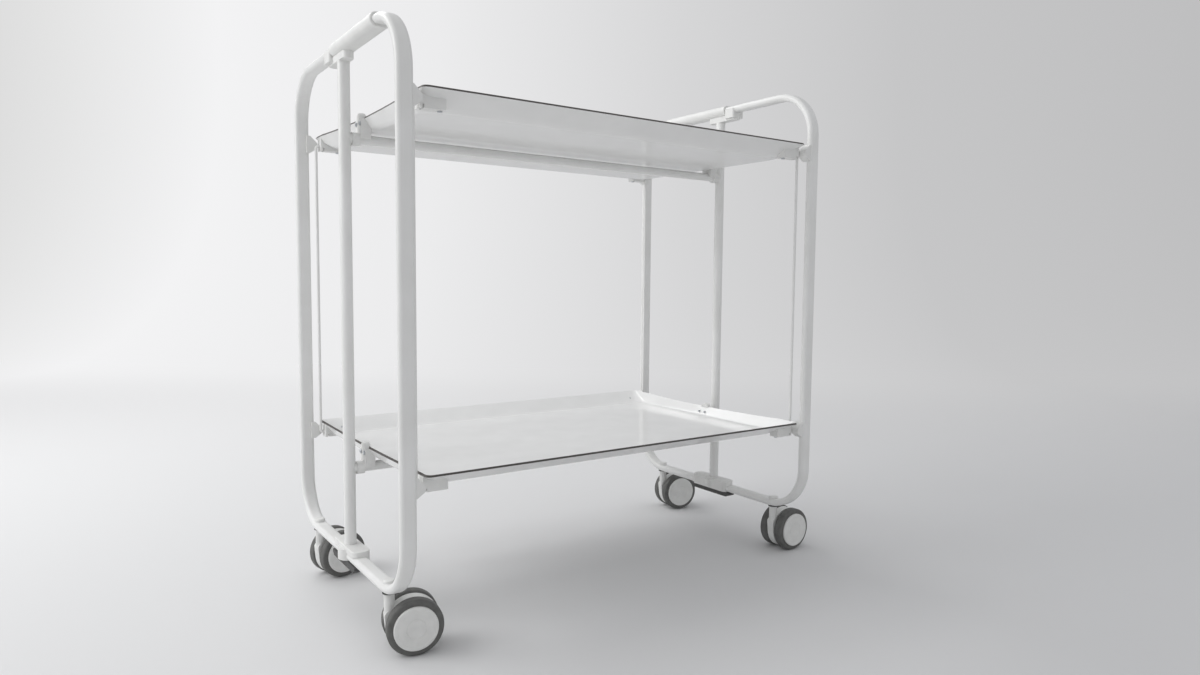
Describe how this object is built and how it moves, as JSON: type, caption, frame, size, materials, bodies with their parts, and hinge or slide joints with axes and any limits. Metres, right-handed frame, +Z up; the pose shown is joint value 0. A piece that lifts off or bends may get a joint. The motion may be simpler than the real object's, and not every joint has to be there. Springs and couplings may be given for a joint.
{
  "type": "folding room service trolley",
  "caption": "Room service trolley: two rimmed laminate trays that tilt together on a centre frame between two tubular hoops, on twin-wheel casters.",
  "frame": {"origin": "on the floor, under the middle of the whole object's bounding box", "axes": "+X along the trays towards the right-hand hoop, +Y from the front long side to the back, +Z up"},
  "size_m": [0.8124, 0.464, 0.8218],
  "materials": {
    "painted_steel": "smooth white powder coat",
    "moulded_plastic": "pale grey moulded plastic",
    "white_laminate": "white laminate with a dark trimmed edge",
    "caster_plastic": "pale grey moulded plastic",
    "tyre_rubber": "dark grey rubber",
    "rubber": "dark grey rubber strip",
    "zinc_steel": "plated steel"
  },
  "bodies": {
    "frame": {"hoop_left": "painted_steel", "grip_left": "moulded_plastic", "top_saddle_left": "moulded_plastic", "pivot_housing_left": "moulded_plastic", "bar_pad_left": "rubber", "tray_lugs_left": "moulded_plastic", "mid_post_left": "painted_steel", "hoop_right": "painted_steel", "grip_right": "moulded_plastic", "top_saddle_right": "moulded_plastic", "pivot_housing_right": "moulded_plastic", "bar_pad_right": "rubber", "tray_lugs_right": "moulded_plastic", "mid_post_right": "painted_steel", "pivot_pins": "zinc_steel", "pivot_bushes": "moulded_plastic", "rail_upper": "painted_steel", "rail_lower": "painted_steel", "caster_stems": "zinc_steel", "swivel_washers": "rubber", "caster_caps": "moulded_plastic"},
    "upper_tray_set": {"upper_tray": "white_laminate", "upper_tray_end_brackets": "moulded_plastic", "upper_tray_bracket_screws": "zinc_steel", "upper_tray_rod_clips": "moulded_plastic", "upper_tray_clip_screws": "zinc_steel"},
    "lower_tray_set": {"lower_tray": "white_laminate", "lower_tray_end_brackets": "moulded_plastic", "lower_tray_bracket_screws": "zinc_steel", "lower_tray_rod_clips": "moulded_plastic", "lower_tray_clip_screws": "zinc_steel"},
    "link_back_right": {"link_rod_back_right": "painted_steel"},
    "link_front_right": {"link_rod_front_right": "painted_steel"},
    "link_back_left": {"link_rod_back_left": "painted_steel"},
    "link_front_left": {"link_rod_front_left": "painted_steel"},
    "caster_front_left": {"caster_body_front_left": "caster_plastic", "caster_axle_front_left": "zinc_steel"},
    "wheels_front_left": {"wheel_hubs_front_left": "caster_plastic", "wheel_treads_front_left": "tyre_rubber"},
    "caster_back_left": {"caster_body_back_left": "caster_plastic", "caster_axle_back_left": "zinc_steel"},
    "wheels_back_left": {"wheel_hubs_back_left": "caster_plastic", "wheel_treads_back_left": "tyre_rubber"},
    "caster_back_right": {"caster_body_back_right": "caster_plastic", "caster_axle_back_right": "zinc_steel"},
    "wheels_back_right": {"wheel_hubs_back_right": "caster_plastic", "wheel_treads_back_right": "tyre_rubber"},
    "caster_front_right": {"caster_body_front_right": "caster_plastic", "caster_axle_front_right": "zinc_steel"},
    "wheels_front_right": {"wheel_hubs_front_right": "caster_plastic", "wheel_treads_front_right": "tyre_rubber"}
  },
  "joints": [
    {"name": "upper_tray_tilt", "type": "hinge", "parent": "frame", "child": "upper_tray_set", "pos_m": [-0.02618, 0, 0.6875], "axis": [1, 0, 0], "range_deg": [0, 40]},
    {"name": "lower_tray_tilt", "type": "hinge", "parent": "frame", "child": "lower_tray_set", "pos_m": [-0.02618, 0, 0.2135], "axis": [1, 0, 0], "range_deg": [0, 40]},
    {"name": "link_pivot_back_right", "type": "hinge", "parent": "upper_tray_set", "child": "link_back_right", "pos_m": [0.31782, 0.208, 0.7055], "axis": [1, 0, 0], "range_deg": [-40, 0]},
    {"name": "link_pivot_front_right", "type": "hinge", "parent": "upper_tray_set", "child": "link_front_right", "pos_m": [0.31782, -0.208, 0.7055], "axis": [1, 0, 0], "range_deg": [-40, 0]},
    {"name": "link_pivot_back_left", "type": "hinge", "parent": "upper_tray_set", "child": "link_back_left", "pos_m": [-0.37018, 0.208, 0.7055], "axis": [1, 0, 0], "range_deg": [-40, 0]},
    {"name": "link_pivot_front_left", "type": "hinge", "parent": "upper_tray_set", "child": "link_front_left", "pos_m": [-0.37018, -0.208, 0.7055], "axis": [1, 0, 0], "range_deg": [-40, 0]},
    {"name": "swivel_front_left", "type": "hinge", "parent": "frame", "child": "caster_front_left", "pos_m": [-0.38819, -0.158, 0.07], "axis": [0, 0, 1], "continuous": true},
    {"name": "wheel_spin_front_left", "type": "hinge", "parent": "caster_front_left", "child": "wheels_front_left", "pos_m": [-0.35874, -0.16372, 0.0375], "axis": [0.1908, 0.9816, 0], "continuous": true},
    {"name": "swivel_back_left", "type": "hinge", "parent": "frame", "child": "caster_back_left", "pos_m": [-0.38819, 0.158, 0.07], "axis": [0, 0, 1], "continuous": true},
    {"name": "wheel_spin_back_left", "type": "hinge", "parent": "caster_back_left", "child": "wheels_back_left", "pos_m": [-0.35874, 0.16372, 0.0375], "axis": [-0.1908, 0.9816, 0], "continuous": true},
    {"name": "swivel_back_right", "type": "hinge", "parent": "frame", "child": "caster_back_right", "pos_m": [0.33581, 0.158, 0.07], "axis": [0, 0, 1], "continuous": true},
    {"name": "wheel_spin_back_right", "type": "hinge", "parent": "caster_back_right", "child": "wheels_back_right", "pos_m": [0.36526, 0.15228, 0.0375], "axis": [0.1908, 0.9816, 0], "continuous": true},
    {"name": "swivel_front_right", "type": "hinge", "parent": "frame", "child": "caster_front_right", "pos_m": [0.33581, -0.158, 0.07], "axis": [0, 0, 1], "continuous": true},
    {"name": "wheel_spin_front_right", "type": "hinge", "parent": "caster_front_right", "child": "wheels_front_right", "pos_m": [0.36582, -0.158, 0.0375], "axis": [0, 1, 0], "continuous": true}
  ],
  "couplings": [
    {"joint": "lower_tray_tilt", "follows": "upper_tray_tilt", "ratio": 1},
    {"joint": "link_pivot_back_right", "follows": "upper_tray_tilt", "ratio": -1},
    {"joint": "link_pivot_front_right", "follows": "upper_tray_tilt", "ratio": -1},
    {"joint": "link_pivot_back_left", "follows": "upper_tray_tilt", "ratio": -1},
    {"joint": "link_pivot_front_left", "follows": "upper_tray_tilt", "ratio": -1}
  ]
}
